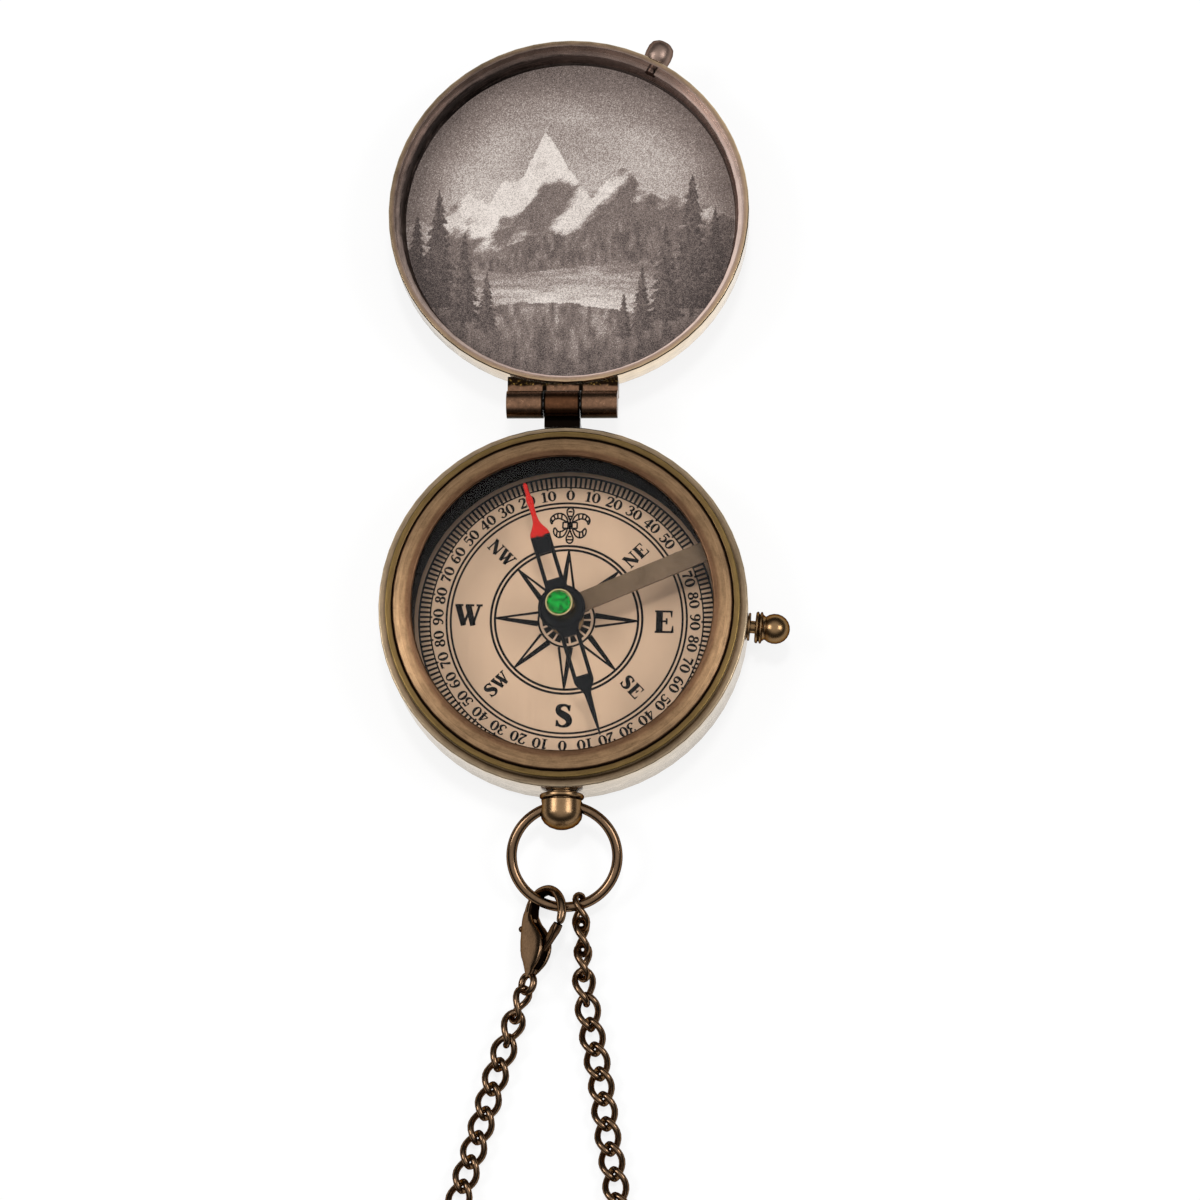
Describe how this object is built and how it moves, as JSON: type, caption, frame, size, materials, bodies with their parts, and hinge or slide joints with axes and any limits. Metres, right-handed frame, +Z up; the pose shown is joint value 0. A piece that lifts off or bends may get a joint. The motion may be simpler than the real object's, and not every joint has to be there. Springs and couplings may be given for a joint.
{
  "type": "pocket compass",
  "caption": "Round pocket compass with a hinged lid, a stop knob that brakes its needle, a bow ring and a curb chain with a clasp.",
  "frame": {"origin": "centre of the case's flat bottom face", "axes": "+Z up through the dial, +Y towards the hinge and the open lid, +X to the right"},
  "size_m": [0.0556, 0.206, 0.0125],
  "materials": {
    "antique_brass": "antiqued, satin",
    "bright_brass": "polished",
    "chain_brass": "antiqued, polished",
    "black_steel": "blackened, one tip red",
    "pin_steel": "drawn wire",
    "dial_copper": "satin copper tone, printed",
    "engraved_plate": "etched, matt",
    "clear_glass": "polished",
    "green_stone": "faceted"
  },
  "bodies": {
    "case": {"case_shell": "antique_brass", "dial_plate": "dial_copper", "spacer_sleeve": "antique_brass", "crystal": "clear_glass", "bezel_ring": "antique_brass", "pivot_post": "pin_steel", "case_hinge_leaf": "antique_brass", "hinge_pin": "pin_steel", "pendant_stud": "antique_brass", "knob_bush": "antique_brass", "lever_bracket": "antique_brass", "lever_pin": "pin_steel"},
    "lid": {"lid_shell": "antique_brass", "picture_plate": "engraved_plate", "lid_peg": "antique_brass", "lid_hinge_leaf": "antique_brass"},
    "needle": {"needle_arm": "black_steel", "needle_cap": "bright_brass", "needle_jewel": "green_stone"},
    "stop_knob": {"stop_knob": "antique_brass", "knob_clip": "pin_steel"},
    "stop_lever": {"stop_lever": "antique_brass"},
    "bow": {"bow_ring": "chain_brass"},
    "chain": {"clasp_body": "chain_brass", "clasp_rivet": "chain_brass", "clasp_spring": "pin_steel", "chain_link_left_1": "chain_brass", "chain_link_left_2": "chain_brass", "chain_link_left_3": "chain_brass", "chain_link_left_4": "chain_brass", "chain_link_left_5": "chain_brass", "chain_link_left_6": "chain_brass", "chain_link_left_7": "chain_brass", "chain_link_left_8": "chain_brass", "chain_link_left_9": "chain_brass", "chain_link_right_1": "chain_brass", "chain_link_right_2": "chain_brass", "chain_link_right_3": "chain_brass", "chain_link_right_4": "chain_brass", "chain_link_right_5": "chain_brass", "chain_link_right_6": "chain_brass", "chain_link_right_7": "chain_brass", "chain_link_right_8": "chain_brass", "chain_link_right_9": "chain_brass", "chain_link_right_10": "chain_brass", "chain_link_right_11": "chain_brass", "chain_link_right_12": "chain_brass", "chain_coil": "chain_brass"},
    "clasp_gate": {"clasp_gate": "chain_brass"}
  },
  "joints": [
    {"name": "lid_hinge", "type": "hinge", "parent": "case", "child": "lid", "pos_m": [0, 0.02815, 0.01045], "axis": [1, 0, 0], "range_deg": [0, 180]},
    {"name": "needle_spin", "type": "hinge", "parent": "case", "child": "needle", "pos_m": [0, 0, 0.009], "axis": [0, 0, 1], "continuous": true},
    {"name": "knob_push", "type": "slide", "parent": "case", "child": "stop_knob", "axis": [-0.9963, 0.0854, 0], "range_m": [0, 0.0006]},
    {"name": "lever_lift", "type": "hinge", "parent": "case", "child": "stop_lever", "pos_m": [0.02039, 0.00865, 0.00763], "axis": [-0.3907, 0.9205, 0], "range_deg": [0, 2]},
    {"name": "bow_swing", "type": "hinge", "parent": "case", "child": "bow", "pos_m": [0, -0.027, 0.0064], "axis": [1, 0, 0], "range_deg": [-60, 60]},
    {"name": "chain_swing", "type": "hinge", "parent": "bow", "child": "chain", "pos_m": [-0.00011, -0.03988, 0.00295], "axis": [0.9998, -0.0169, -0.0045], "range_deg": [-45, 10]},
    {"name": "gate_open", "type": "hinge", "parent": "chain", "child": "clasp_gate", "pos_m": [-0.00333, -0.04669, 0.00339], "axis": [-0.6978, 0.1143, 0.7071], "range_deg": [0, 20], "stiffness_Nm_per_rad": 0.002, "springref_deg": -20.05}
  ],
  "couplings": [
    {"joint": "lever_lift", "follows": "knob_push", "rad_per_m": 58}
  ]
}
